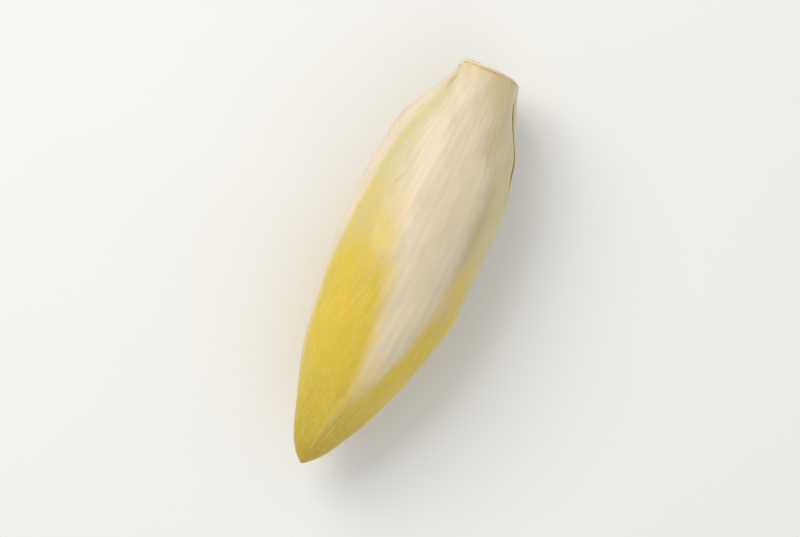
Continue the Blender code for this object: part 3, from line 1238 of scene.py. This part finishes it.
@dataclass
class StemPiece:
    """The cone-shaped stem, with its trimmed foot and the scars where leaves were."""

    shape: HeadShape
    node: str = "stem"
    steps_round: int = 132
    steps_along: int = 150
    face_share: float = 0.42
    face_edge: float = 0.01
    bevel: float = 0.0007
    bevel_share: float = 0.07
    face_dome: float = 0.00015
    flank_crowding: float = 0.65
    flank_easing: float = 1.5
    tip_share: float = 0.02
    knife_depth: float = 0.00006
    knife_step: float = 0.0011
    knife_slant: Span = (0.8, 0.6)
    knife_steps: tuple[Ripple, ...] = (Ripple(1.0, 1, 60, 21), Ripple(0.5, 3.1, 40, 22))
    bundles: int = 15
    bundles_at: float = 0.66
    bundles_off: Ripple = Ripple(0.05, 2, 0, 7, middle=1.0)
    bundle_width: float = 0.00065
    bundle_depth: float = 0.00009
    bundle_drift: Ripple = Ripple(0.5, 2.2, 0, 9)
    bundle_least: float = 0.35
    scar_step: float = 0.0032
    scar_starts: int = 2
    scar_height: float = 0.00016
    scar_drift: Ripple = Ripple(0.35, 1.3, 300, 31)
    scars_rise: Span = (0.0005, 0.004)
    scars_fall: Span = (0.035, 0.05)
    hollows: float = 0.010
    hollow_wave: Ripple = Ripple(0.5, 1.5, 150, 41, middle=0.5)
    patch: float = 0.0034
    patch_shift: float = 4.3
    patches: Ripple = Ripple(0.5, 1, 1, 57, octaves=3, middle=0.5)
    rim: Span = (0.60, 1.0)
    face_brown: Triple = (0.12, 0.75, 0.3)

    def way(self, share: Array) -> tuple[Array, Array]:
        """Where the surface is, from the cut face's middle to the stem's tip.

        Args:
            share: 0 at the middle of the cut face, 1 at the tip.

        Returns:
            The distance along the head and the radius.
        """
        shape, bevel = self.shape, self.bevel
        on_face = np.clip(share / self.face_share, 0, 1)
        on_bevel = np.clip((share - self.face_share) / self.bevel_share, 0, 1)
        corner = on_bevel * math.pi / 2
        face_end = self.face_share + self.bevel_share
        on_flank = np.clip((share - face_end) / (1 - face_end), 0, 1)
        low, crowded = bevel - shape.stem_stub, self.flank_crowding * on_flank**self.flank_easing
        along = low + (shape.stem_length - low) * ((1 - self.flank_crowding) * on_flank + crowded)
        rounded = np.sqrt(np.clip((1 - on_flank) / self.tip_share, 0, 1))
        flank = shape.stem_profile(along) * rounded
        face = (shape.stem_radius - bevel) * on_face + bevel * np.sin(corner)
        low_end = -shape.stem_stub + bevel * (1 - np.cos(corner))
        return np.where(on_bevel < 1, low_end, along), np.where(on_bevel < 1, face, flank)

    def bundle_mask(self, radius: Array, turn: Array) -> Array:
        """Where the vessel bundles are that a cut stem shows in a ring.

        Args:
            radius: distances from the axis.
            turn: turns round it.

        Returns:
            1 on a bundle, 0 away from the ring.
        """
        at = self.bundles_at * self.shape.stem_radius * self.bundles_off.at(turn, turn)
        beads = crests(turn * self.bundles + self.bundle_drift.at(turn, turn), 2)
        beads = self.bundle_least + (1 - self.bundle_least) * beads
        return bump(radius, at, self.bundle_width) * beads

    def knife_marks(self, y: Array, z: Array) -> Array:
        """The shallow straight steps that the knife left across the face, about 0."""
        slanted = (y * self.knife_slant[0] + z * self.knife_slant[1]) / self.knife_step
        return sum(steps.at(slanted, y) for steps in self.knife_steps)

    def scars(self, along: Array, turn: Array) -> Array:
        """Low ledges round the flank, one under each leaf's foot, which slope from 1 to 0."""
        winding = along / self.scar_step + turn / FULL_TURN * self.scar_starts
        return (1 - (winding + self.scar_drift.at(turn, along)) % 1) ** 2

    def build(self) -> bpy.types.Object:
        """Draws a ball out to the stem and gives it its marks.

        Returns:
            The stem.
        """
        shape = self.shape
        mesh = new_ball("trimmed_stem", self.steps_round, self.steps_along)
        ball_x, ball_y, ball_z = corners(mesh)
        share = np.arccos(np.clip(ball_z, -1, 1)) / math.pi
        turn = np.arctan2(ball_y, ball_x)
        along, radius = self.way(share)
        y, z = radius * np.sin(turn), radius * np.cos(turn)
        face_end = self.face_share + self.bevel_share
        on_face = 1 - smoothstep(self.face_share - self.face_edge, face_end, share)
        bundles = self.bundle_mask(radius, turn) * on_face
        middle = 1 - (radius / shape.stem_radius) ** 2
        along = along - on_face * self.face_dome * middle
        along = along + self.knife_depth * (self.knife_marks(y, z) * on_face)
        along = along + self.bundle_depth * bundles
        on_flank = band(self.scars_rise, self.scars_fall, along)
        ledges = self.scars(along, turn)
        radius = radius - on_flank * self.scar_height * (1 - ledges)
        radius = radius * (1 - self.hollows * (1 - middle) * self.hollow_wave.at(turn, along))
        move_corners(mesh, shape.round_axis(along, turn, radius))
        patchy = self.patches.at(y / self.patch + self.patch_shift, z / self.patch)
        rim = smoothstep(*self.rim, radius / shape.stem_radius)
        everywhere, at_rim, in_patches = self.face_brown
        brown = on_face * (everywhere + at_rim * rim * patchy + in_patches * patchy**3)
        store(
            mesh,
            skin=np.stack([shape.stem_radius * turn / MM, along / MM, radius / MM], -1),
            cut=on_face,
            bundle=bundles,
            scar=on_flank * ledges,
            bruise=np.clip(brown, 0, 1),
        )
        return new_piece("trimmed_stem", mesh, self.node)


@dataclass
class BudPiece:
    """The folded bud in the middle of the head."""

    shape: HeadShape
    node: str = "heart_bud"
    length: float = 0.022
    radius: float = 0.0024
    slimming: float = 0.45
    steps_round: int = 72
    steps_along: int = 96
    leaflets: int = 5
    fold_depth: float = 0.14
    fold_twist: float = 2.4
    ripe_from: float = 0.55
    rib: float = 0.35
    vein: float = 0.5
    vein_from: float = 0.9
    edge: Span = (0.75, 1.0)
    # how much painted shade darkens the folds between the leaflets
    fold: float = 0.4
    skin_shift: float = 900.0

    def build(self) -> bpy.types.Object:
        """Draws a ball out to a drop and folds small leaves into it.

        Returns:
            The bud.
        """
        mesh = new_ball("folded_bud", self.steps_round, self.steps_along)
        x, y, z = corners(mesh)
        share, turn = (1 - z) / 2, np.arctan2(y, x)
        winding = (turn + self.fold_twist * share) / FULL_TURN * self.leaflets % 1
        fold = winding**3
        radius = np.hypot(x, y) * self.radius * (1 - self.slimming * share)
        radius = radius * (1 - self.fold_depth * fold)
        along = self.shape.stem_length + share * self.length
        move_corners(mesh, self.shape.round_axis(along, turn, radius))
        spread, shifted = turn * self.radius / MM, np.full(len(turn), self.skin_shift)
        store(
            mesh,
            skin=np.stack([spread, share * self.length / MM, shifted], -1),
            up=self.ripe_from + (1 - self.ripe_from) * share,
            rib=self.rib * (1 - share),
            ridge=1 - fold,
            vein=self.vein * (winding > self.vein_from),
            bruise=0 * share,
            edge=smoothstep(*self.edge, winding),
            # painted shade in the folds between the leaflets
            fold=self.fold * fold,
        )
        return new_piece("folded_bud", mesh, self.node)


class Kind(Enum):
    """The kinds of socket that an effect has."""

    NUMBER = "NodeSocketFloat"
    VECTOR = "NodeSocketVector"
    COLOUR = "NodeSocketColor"


Socket = bpy.types.NodeSocket
Feed = float | tuple[float, ...] | Socket


@dataclass
class Wiring:
    """Short ways to add nodes to one node tree and to join them."""

    tree: bpy.types.NodeTree

    def feed(self, node: bpy.types.Node, feeds: dict[str | int, Feed]) -> None:
        """Joins a node's inputs to other sockets, or sets their own numbers and colours.

        Args:
            node: the node.
            feeds: what goes into each input, by the input's name or number.
        """
        for key, value in feeds.items():
            socket = node.inputs[key]
            if isinstance(value, Socket):
                self.tree.links.new(value, socket)
            else:
                socket.default_value = (*value, 1.0) if socket.type == "RGBA" else value

    def node(self, kind: str, feeds: dict[str | int, Feed], **settings: object) -> bpy.types.Node:
        """Adds a node.

        Args:
            kind: its type.
            feeds: what goes into its inputs.
            settings: its options.

        Returns:
            The node.
        """
        made = self.tree.nodes.new(kind)
        for key, value in settings.items():
            setattr(made, key, value)
        self.feed(made, feeds)
        return made

    def sum(self, operation: str, *values: Feed, clamp: bool = False) -> Socket:
        """The result of one step of arithmetic."""
        settings = {"operation": operation, "use_clamp": clamp}
        return self.node("ShaderNodeMath", dict(enumerate(values)), **settings).outputs[0]

    def about_zero(self, noise: Socket, strength: float) -> Socket:
        """Noise from 0 to 1, weakened and moved so that its middle is 0."""
        return self.sum("MULTIPLY_ADD", noise, strength, -strength / 2)

    def mix(self, share: Feed, first: Feed, second: Feed) -> Socket:
        """A colour between two others."""
        feeds = dict(zip(MIX_INPUTS, (share, first, second)))
        return self.node("ShaderNodeMix", feeds, data_type="RGBA").outputs[MIX_OUTPUT]

    def ramp(self, value: Feed, low: Feed, high: Feed, start: Feed = 0, end: Feed = 1) -> Socket:
        """A soft step from start to end while a value goes from low to high."""
        feeds = dict(enumerate((value, low, high, start, end)))
        return self.node("ShaderNodeMapRange", feeds, interpolation_type="SMOOTHSTEP").outputs[0]

    def stretched(self, place: Feed, stretch: Triple) -> Socket:
        """A place in cells, with so many for each unit."""
        return self.node("ShaderNodeMapping", {"Vector": place, "Scale": stretch}).outputs[0]

    def clouds(self, place: Feed, stretch: Triple, detail: float) -> Socket:
        """Noise over a place that is stretched first.

        Args:
            place: the place.
            stretch: the noise's cells for each unit of the place.
            detail: how many finer noises lie on it.

        Returns:
            Numbers from 0 to 1.
        """
        feeds = {"Vector": self.stretched(place, stretch), "Detail": detail}
        feeds |= {"Scale": 1.0, "Roughness": NOISE_ROUGHNESS}
        return self.node("ShaderNodeTexNoise", feeds).outputs[0]

    def kept(self, name: str, key: str = "Fac") -> Socket:
        """What the mesh keeps for each corner under a name."""
        return self.node("ShaderNodeAttribute", {}, attribute_name=name).outputs[key]

    def effect(self, group: bpy.types.NodeTree, **values: Feed) -> dict[str, Socket]:
        """Places an effect with its own values, and gives its outputs by name."""
        made = self.node("ShaderNodeGroup", values, node_tree=group)
        return {socket.name: socket for socket in made.outputs}


def new_effect(name: str, takes: dict[str, Kind], gives: dict[str, Kind]) -> Wiring:
    """Starts a node group for an effect that several finishes share.

    Args:
        name: the group's name.
        takes: its inputs by name.
        gives: its outputs by name.

    Returns:
        The wiring of its tree.
    """
    group = bpy.data.node_groups.new(name, "ShaderNodeTree")
    for way, sockets in (("INPUT", takes), ("OUTPUT", gives)):
        for socket, kind in sockets.items():
            group.interface.new_socket(name=socket, in_out=way, socket_type=kind.value)
    return Wiring(group)


# Fold is painted shade: it darkens the fold beside the rib
LEAF_MASKS = ("Up", "Rib", "Vein", "Ridge", "Edge", "Fold")
LEAF_GRAIN = ("Fibre", "Cloud", "Net")
LEAF_COLOURS = {
    "Rib Colour": "rib",
    "Foot Colour": "foot",
    "Pale Blade": "pale_blade",
    "Yellow Blade": "yellow_blade",
    "Tip": "tip",
    "Vein Colour": "vein",
    "Margin": "margin",
    # the fold's colour is painted shade in the fold beside the rib
    "Fold Shade Colour": "fold",
}


@dataclass
class Effects:
    """The effects that the finishes share, each built once.

    Cells are counted for each millimetre of skin, across and along.
    """

    fibre_cells: Triple = (2.6, 0.11, 1.0)
    tissue_cells: Triple = (5.0, 2.6, 1.0)
    cloud_cells: Triple = (0.16, 0.07, 1.0)
    fibre_height: float = 0.65
    sway_cells: float = 0.35
    sway: Triple = (2.2, 2.2, 0.0)
    net_cells: Triple = (0.62, 0.30, 1.0)
    net_line: float = 0.12
    patch_cells: Triple = (0.9, 0.45, 1.0)
    patchiness: float = 0.5
    least_mark: float = 0.01
    light_brown: Span = (0.08, 0.6)
    deep_brown: Span = (0.45, 1.05)
    cloudiness: float = 0.5
    tip_at: Span = (0.70, 1.05)
    vein_share: float = 0.42
    net_share: float = 0.13
    foot_until: Span = (-0.08, 0.16)
    groove_share: float = 0.22
    ridge_share: float = 0.35
    rib_yellow_at: Span = (0.35, 1.1)
    rib_yellow: float = 0.55
    # how strongly painted shade darkens the fold beside the rib
    fold_shade_share: float = 0.55
    edge_share: float = 0.5
    cloud_range: Span = (0.25, 0.75)
    cloud_light: Span = (0.95, 1.04)
    fibre_range: Span = (0.2, 0.8)
    fibre_light: Span = (0.965, 1.03)
    grain: bpy.types.NodeTree = field(init=False)
    browning: bpy.types.NodeTree = field(init=False)
    tones: bpy.types.NodeTree = field(init=False)

    def __post_init__(self) -> None:
        """Builds every effect."""
        self.grain = self.build_grain()
        self.browning = self.build_browning()
        self.tones = self.build_tones()

    def build_grain(self) -> bpy.types.NodeTree:
        """Plant grain: long fibres, small cells, slow clouds and a net of fine veins.

        Returns:
            The group.
        """
        gives = dict.fromkeys(("Height", "Fibre", "Cloud", "Net"), Kind.NUMBER)
        wiring = new_effect("plant_grain", {"Skin": Kind.VECTOR}, gives)
        skin = wiring.node("NodeGroupInput", {}).outputs["Skin"]
        fibre = wiring.clouds(skin, self.fibre_cells, detail=4.0)
        tissue = wiring.clouds(skin, self.tissue_cells, detail=2.0)
        cloud = wiring.clouds(skin, self.cloud_cells, detail=4.0)
        height = wiring.sum("MULTIPLY", fibre, self.fibre_height)
        height = wiring.sum("MULTIPLY_ADD", tissue, 1 - self.fibre_height, height)
        sway = wiring.node("ShaderNodeTexNoise", {"Vector": skin, "Scale": self.sway_cells})
        feeds = {0: sway.outputs["Color"], 1: self.sway, 2: skin}
        swayed = wiring.node("ShaderNodeVectorMath", feeds, operation="MULTIPLY_ADD").outputs[0]
        feeds = {"Vector": wiring.stretched(swayed, self.net_cells), "Scale": 1.0}
        net = wiring.node("ShaderNodeTexVoronoi", feeds, feature="DISTANCE_TO_EDGE")
        lines = wiring.ramp(net.outputs["Distance"], self.net_line, 0.0)
        found = {"Height": height, "Fibre": fibre, "Cloud": cloud, "Net": lines}
        wiring.node("NodeGroupOutput", found)
        return wiring.tree

    def build_browning(self) -> bpy.types.NodeTree:
        """Browning of rubbed and cut places, uneven at its edge.

        Returns:
            The group.
        """
        takes = dict.fromkeys(("Colour", "Fresh", "Old"), Kind.COLOUR)
        takes |= {"Mark": Kind.NUMBER, "Skin": Kind.VECTOR}
        wiring = new_effect("browning", takes, {"Colour": Kind.COLOUR, "Mask": Kind.NUMBER})
        get = wiring.node("NodeGroupInput", {}).outputs
        patches = wiring.clouds(get["Skin"], self.patch_cells, detail=5.0)
        shifted = wiring.sum("ADD", get["Mark"], wiring.about_zero(patches, self.patchiness))
        marked = wiring.sum("GREATER_THAN", get["Mark"], self.least_mark)
        mark = wiring.sum("MULTIPLY", shifted, marked)
        light, deep = wiring.ramp(mark, *self.light_brown), wiring.ramp(mark, *self.deep_brown)
        browned = wiring.mix(deep, wiring.mix(light, get["Colour"], get["Fresh"]), get["Old"])
        wiring.node("NodeGroupOutput", {"Colour": browned, "Mask": light})
        return wiring.tree

    def build_tones(self) -> bpy.types.NodeTree:
        """A leaf's colours: its rib, its blades from pale to yellow, its veins and margins, and
        painted shade in the fold beside the rib.

        Returns:
            The group.
        """
        numbers = (*LEAF_MASKS, *LEAF_GRAIN, "Yellow From", "Yellow To")
        takes = dict.fromkeys(numbers, Kind.NUMBER) | dict.fromkeys(LEAF_COLOURS, Kind.COLOUR)
        wiring = new_effect("leaf_tones", takes, {"Colour": Kind.COLOUR})
        get = wiring.node("NodeGroupInput", {}).outputs
        drift = wiring.about_zero(get["Cloud"], self.cloudiness)
        height = wiring.sum("ADD", get["Up"], drift)
        yellowed = wiring.ramp(height, get["Yellow From"], get["Yellow To"])
        blade = wiring.mix(yellowed, get["Pale Blade"], get["Yellow Blade"])
        blade = wiring.mix(wiring.ramp(height, *self.tip_at), blade, get["Tip"])
        veins = wiring.sum("MULTIPLY", get["Vein"], self.vein_share)
        veins = wiring.sum("MULTIPLY_ADD", get["Net"], self.net_share, veins)
        blade = wiring.mix(veins, blade, get["Vein Colour"])
        above_foot = wiring.ramp(height, *self.foot_until)
        rib = wiring.mix(above_foot, get["Foot Colour"], get["Rib Colour"])
        grooves = (get["Ridge"], -self.ridge_share, self.groove_share)
        rib = wiring.mix(wiring.sum("MULTIPLY_ADD", *grooves, clamp=True), rib, get["Foot Colour"])
        yellowed = wiring.ramp(height, *self.rib_yellow_at, 0.0, self.rib_yellow)
        skin = wiring.mix(get["Rib"], blade, wiring.mix(yellowed, rib, get["Vein Colour"]))
        # painted shade: the fold beside the rib is darkened towards its brown shade colour
        fold = wiring.sum("MULTIPLY", get["Fold"], self.fold_shade_share)
        edge = wiring.sum("MULTIPLY", get["Edge"], self.edge_share)
        skin = wiring.mix(edge, wiring.mix(fold, skin, get["Fold Shade Colour"]), get["Margin"])
        clouds = wiring.ramp(get["Cloud"], *self.cloud_range, *self.cloud_light)
        fibres = wiring.ramp(get["Fibre"], *self.fibre_range, *self.fibre_light)
        feeds = {0: skin, "Scale": wiring.sum("MULTIPLY", clouds, fibres)}
        shaded = wiring.node("ShaderNodeVectorMath", feeds, operation="SCALE").outputs[0]
        wiring.node("NodeGroupOutput", {"Colour": shaded})
        return wiring.tree


def tint(code: str) -> Colour:
    """A colour from its six-digit code, as linear light."""
    parts = [int(code[i : i + 2], 16) / 255 for i in (0, 2, 4)]
    return tuple(p / 12.92 if p <= 0.04045 else ((p + 0.055) / 1.055) ** 2.4 for p in parts)


@dataclass(frozen=True)
class SatinBody:
    """How light goes into and off moist plant tissue."""

    gloss: Span = (0.30, 0.44)
    gloss_clouds: Span = (0.25, 0.75)
    dullness: float = 0.22
    glow: float = 0.30
    glow_depth: float = 0.0022
    glow_spread: Triple = (1.0, 0.72, 0.30)
    refraction: float = 1.40
    wax: float = 0.20
    wax_gloss: float = 0.22
    bump_height: float = 0.00012
    bump_strength: float = 0.55

    def shader(self, wiring: Wiring, colour: Feed, height: Feed, cloud: Feed, mark: Feed) -> None:
        """Wires the tree's shader.

        Args:
            wiring: the material's tree.
            colour: the skin's colour.
            height: the grain's height.
            cloud: slow noise, which varies the gloss.
            mark: where the skin is browned and dull.
        """
        gloss = wiring.ramp(cloud, *self.gloss_clouds, *self.gloss)
        feeds = {"Strength": self.bump_strength, "Distance": self.bump_height, "Height": height}
        wiring.feed(
            wiring.tree.nodes["Principled BSDF"],
            {
                "IOR": self.refraction,
                "Coat Weight": self.wax,
                "Coat Roughness": self.wax_gloss,
                "Subsurface Weight": self.glow,
                "Subsurface Scale": self.glow_depth,
                "Subsurface Radius": self.glow_spread,
                "Base Color": colour,
                "Roughness": wiring.sum("MULTIPLY_ADD", mark, self.dullness, gloss, clamp=True),
                "Normal": wiring.node("ShaderNodeBump", feeds).outputs[0],
            },
        )


def new_material(name: str) -> tuple[bpy.types.Material, Wiring]:
    """Starts a material.

    Args:
        name: its name.

    Returns:
        The material and the wiring of its tree.
    """
    made = bpy.data.materials.new(name)
    made.use_nodes = True
    return made, Wiring(made.node_tree)


@dataclass(frozen=True)
class Finish:
    """What the skins of leaves and stem share: their grain, their marks and their body."""

    name: str
    fresh_mark: Colour = tint("CFAF7E")
    old_mark: Colour = tint("A5784A")
    body: SatinBody = SatinBody()

    def colour(self, wiring: Wiring, effects: Effects, grain: dict[str, Socket]) -> Socket:
        """The skin's colour before it browns."""
        raise NotImplementedError

    def material(self, effects: Effects) -> bpy.types.Material:
        """Builds the material.

        Args:
            effects: the effects that it uses.

        Returns:
            The material.
        """
        made, wiring = new_material(self.name)
        skin = wiring.kept("skin", "Vector")
        grain = wiring.effect(effects.grain, Skin=skin)
        tones = {"Colour": self.colour(wiring, effects, grain), "Mark": wiring.kept("bruise")}
        marks = {"Skin": skin, "Fresh": self.fresh_mark, "Old": self.old_mark}
        seen = wiring.effect(effects.browning, **tones, **marks)
        self.body.shader(wiring, seen["Colour"], grain["Height"], grain["Cloud"], seen["Mask"])
        return made


@dataclass(frozen=True)
class LeafFinish(Finish):
    """The skin of one ring's leaves."""

    rib: Colour = tint("E3D3B8")
    foot: Colour = tint("D2C294")
    pale_blade: Colour = tint("D5C692")
    yellow_blade: Colour = tint("DBBC36")
    tip: Colour = tint("BD9F1E")
    vein: Colour = tint("E4D28C")
    margin: Colour = tint("E2D184")
    # painted shade that darkens the fold beside the rib
    fold: Colour = tint("B2925F")
    yellow: Span = (0.24, 0.58)

    def colour(self, wiring: Wiring, effects: Effects, grain: dict[str, Socket]) -> Socket:
        """The leaf's colours by its rib, blades, veins, painted fold shade and margins.

        Args:
            wiring: the material's tree.
            effects: the effects that it uses.
            grain: the grain's outputs.

        Returns:
            The skin's colour before it browns.
        """
        masks = {name: wiring.kept(name.lower()) for name in LEAF_MASKS}
        grains = {name: grain[name] for name in LEAF_GRAIN}
        colours = {name: getattr(self, key) for name, key in LEAF_COLOURS.items()}
        stretch = dict(zip(("Yellow From", "Yellow To"), self.yellow))
        return wiring.effect(effects.tones, **masks, **grains, **colours, **stretch)["Colour"]


@dataclass(frozen=True)
class StemFinish(Finish):
    """The cut and scarred tissue of the stem."""

    name: str = "cut_stem"
    fresh_mark: Colour = tint("D3B182")
    old_mark: Colour = tint("9A6A40")
    body: SatinBody = SatinBody(gloss=(0.48, 0.62), wax=0.0, bump_strength=0.6)
    pith: Colour = tint("E9DDC0")
    flank: Colour = tint("E4D7B2")
    vessel: Colour = tint("C9AE78")
    ledge: Colour = tint("C7A873")
    ledge_share: float = 0.45
    fibre_range: Span = (0.35, 0.8)
    fibre_share: float = 0.25

    def colour(self, wiring: Wiring, effects: Effects, grain: dict[str, Socket]) -> Socket:
        """The stem's colours by its cut face, scars, bundles and fibres.

        Args:
            wiring: the material's tree.
            effects: not used here.
            grain: the grain's outputs.

        Returns:
            The skin's colour before it browns.
        """
        colour = wiring.mix(wiring.kept("cut"), self.flank, self.pith)
        scars = wiring.sum("MULTIPLY", wiring.kept("scar"), self.ledge_share)
        colour = wiring.mix(scars, colour, self.ledge)
        colour = wiring.mix(wiring.kept("bundle"), colour, self.vessel)
        fibres = wiring.ramp(grain["Fibre"], *self.fibre_range, 0.0, self.fibre_share)
        return wiring.mix(fibres, colour, self.vessel)


@dataclass
class Head:
    """The head of leaves round its stem, from the outside in."""

    shape: HeadShape
    effects: Effects
    rings: tuple[tuple[Ring, int], ...] = ((Ring.OUTER, 6), (Ring.MIDDLE, 8), (Ring.HEART, 5))
    steps: tuple[tuple[int, int, int], ...] = (
        (3, 120, 240),
        (6, 92, 170),
        (14, 48, 84),
        (19, 36, 60),
    )
    press: float = 0.00015
    free: float = 1.0
    characters: tuple[Character, ...] = (
        Character(
            fold=0.62,
            fold_up=0.36,
            fold_length=0.13,
            rib_shift=0.08,
            rib_lean=0.23,
            late_side=0.18,
            lift=0.6,
            spots=(
                RubbedSpot(-0.64, 0.315, 0.045, 0.030, 0.5, 0.42),
                RubbedSpot(-0.74, 0.385, 0.030, 0.022, 0.6, 0.34),
                RubbedSpot(-0.58, 0.240, 0.030, 0.030, 0.3, 0.22),
            ),
        ),
        Character(fold=0.5, fold_up=0.5, fold_side=-1.0, lift=0.6),
        Character(
            fold=0.6,
            fold_up=0.42,
            fold_side=-1.0,
            lift=0.8,
            foot_drop=0.0048,
            foot_window=(211.0, 312.0),
            foot_rise=0.04,
        ),
        Character(foot_drop=0.0042, foot_window=(64.0, 98.0)),
        Character(foot_drop=0.0040, foot_window=(203.0, 236.0), foot_rise=0.03),
    )
    heart_rib: Colour = tint("EFE5C6")

    def finishes(self) -> dict[Ring, LeafFinish]:
        """Mixes the skin of each ring, paler from the outside in.

        Returns:
            The finishes by ring.
        """
        middle = {
            "pale_blade": tint("E6DAAE"),
            "yellow_blade": tint("EBD66E"),
            "tip": tint("DEC850"),
        }
        heart = {
            "rib": self.heart_rib,
            "pale_blade": tint("EFE2B0"),
            "yellow_blade": tint("F0DD7C"),
            "tip": tint("EAD45E"),
        }
        return {
            Ring.OUTER: LeafFinish("outer_leaf_skin"),
            Ring.MIDDLE: LeafFinish("middle_leaf_skin", **middle, yellow=(0.25, 0.65)),
            Ring.HEART: LeafFinish("heart_leaf_skin", **heart, yellow=(0.1, 0.7)),
        }

    def grid_for(self, number: int) -> tuple[int, int]:
        """How many steps the leaf with a number has across it and up it."""
        return next((across, up) for last, across, up in self.steps if number < last)

    def build_leaves(self) -> Iterable[bpy.types.Object]:
        """Lays the leaves one under the other and dresses each.

        Returns:
            The leaves, from the outermost in.
        """
        skins = {ring: finish.material(self.effects) for ring, finish in self.finishes().items()}
        names = [(ring, place + 1) for ring, count in self.rings for place in range(count)]
        room = Room(self.shape)
        space, start = room.whole_head(), 0.0
        under_older = np.zeros(space.shape, bool)
        for number, (ring, place) in enumerate(names):
            leaf = Leaf(number, len(names), room, space, start)
            cover = np.where(under_older, space + self.press, self.free)
            own = self.characters[number] if number < len(self.characters) else Character()
            node = f"{ring.value}_{place}"
            piece = LeafPiece(leaf, node, ring, cover, *self.grid_for(number), own).build()
            piece.data.materials.append(skins[ring])
            yield piece
            under_older |= leaf.covered()
            space, start = leaf.space_inside(), leaf.start

    def build_core(self) -> Iterable[bpy.types.Object]:
        """Makes the stem and the bud.

        Returns:
            Both pieces.
        """
        bud_skin = LeafFinish(
            "heart_bud_skin",
            rib=self.heart_rib,
            pale_blade=tint("F0E3AE"),
            yellow_blade=tint("EFDA74"),
            tip=tint("E6CF58"),
        )
        for maker, finish in ((StemPiece, StemFinish()), (BudPiece, bud_skin)):
            piece = maker(self.shape).build()
            piece.data.materials.append(finish.material(self.effects))
            yield piece


@dataclass(frozen=True)
class Lamp:
    """A square soft light that faces the head: its place, side, power in watts and colour."""

    name: str
    place: Triple
    size: float
    power: float
    tone: Colour

    def hang(self) -> None:
        """Hangs the lamp and turns it to the head."""
        light = bpy.data.lights.new(self.name, "AREA")
        light.size, light.energy, light.color = self.size, self.power, self.tone
        lamp = in_scene(self.name, light)
        lamp.location = self.place
        lamp.rotation_euler = (-Vector(self.place)).to_track_quat("-Z", "Y").to_euler()


@dataclass(frozen=True)
class Studio:
    """The pale floor, the soft lights and the camera, whose turn is in degrees."""

    floor_size: float = 3.0
    floor_steps: int = 4
    floor_tone: Colour = tint("F2F1EE")
    floor_tone_away: Colour = tint("EDECE8")
    floor_clouds: Triple = (9.0, 9.0, 9.0)
    floor_gloss: float = 0.75
    sky: Colour = (0.95, 0.97, 1.0)
    sky_strength: float = 0.62
    lamps: tuple[Lamp, ...] = (
        Lamp("key", (-0.42, -0.80, 0.95), 0.9, 10.0, (1.0, 0.965, 0.91)),
        Lamp("fill", (0.70, 0.75, 0.85), 1.1, 2.0, (0.93, 0.96, 1.0)),
    )
    lens: float = 100.0
    camera_height: float = 0.708
    camera_turn: float = 114.3

    def floor(self) -> None:
        """Lays a pale matt floor under the head."""
        made = bmesh.new()
        steps = {"x_segments": self.floor_steps, "y_segments": self.floor_steps}
        bmesh.ops.create_grid(made, **steps, size=self.floor_size / 2)
        mesh = as_mesh(made, "floor")
        paint, wiring = new_material("pale_floor")
        place = wiring.node("ShaderNodeTexCoord", {}).outputs["Object"]
        cloud = wiring.clouds(place, self.floor_clouds, detail=2.0)
        tone = wiring.mix(cloud, self.floor_tone, self.floor_tone_away)
        shader = wiring.tree.nodes["Principled BSDF"]
        wiring.feed(shader, {"Roughness": self.floor_gloss, "Base Color": tone})
        mesh.materials.append(paint)
        in_scene("floor", mesh)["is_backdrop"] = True

    def lights(self) -> None:
        """Lights the head softly, most of it from one side."""
        for lamp in self.lamps:
            lamp.hang()
        world = bpy.data.worlds.new("pale_room")
        world.use_nodes = True
        backdrop = world.node_tree.nodes["Background"]
        Wiring(world.node_tree).feed(backdrop, {"Color": self.sky, "Strength": self.sky_strength})
        bpy.context.scene.world = world

    def camera(self) -> None:
        """Sets the camera straight over the middle of the head, turned as the head lies."""
        lens = bpy.data.cameras.new("camera")
        lens.lens = self.lens
        camera = in_scene("camera", lens)
        middle = sum((Vector(corner) for corner in CAD_BOX), Vector()) / 2
        camera.location = middle + Vector((0, 0, self.camera_height))
        camera.rotation_euler = (0, 0, math.radians(self.camera_turn))
        bpy.context.scene.camera = camera


def main() -> None:
    """Builds the studio, then the head in it, and works out the two boxes."""
    logging.basicConfig(level=logging.INFO, format="%(name)s: %(message)s", stream=sys.stdout)
    bpy.context.scene.view_settings.view_transform = "Standard"
    studio = Studio()
    studio.camera()
    studio.lights()
    studio.floor()
    head = Head(HeadShape(), Effects())
    pieces = [*head.build_leaves(), *head.build_core()]
    log.info("the head has %d pieces", len(pieces))
    boxes = {"cad": CAD_BOX, "visual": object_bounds()}
    plain = {name: [[float(x) for x in corner] for corner in box] for name, box in boxes.items()}


if __name__ == "__main__":
    main()
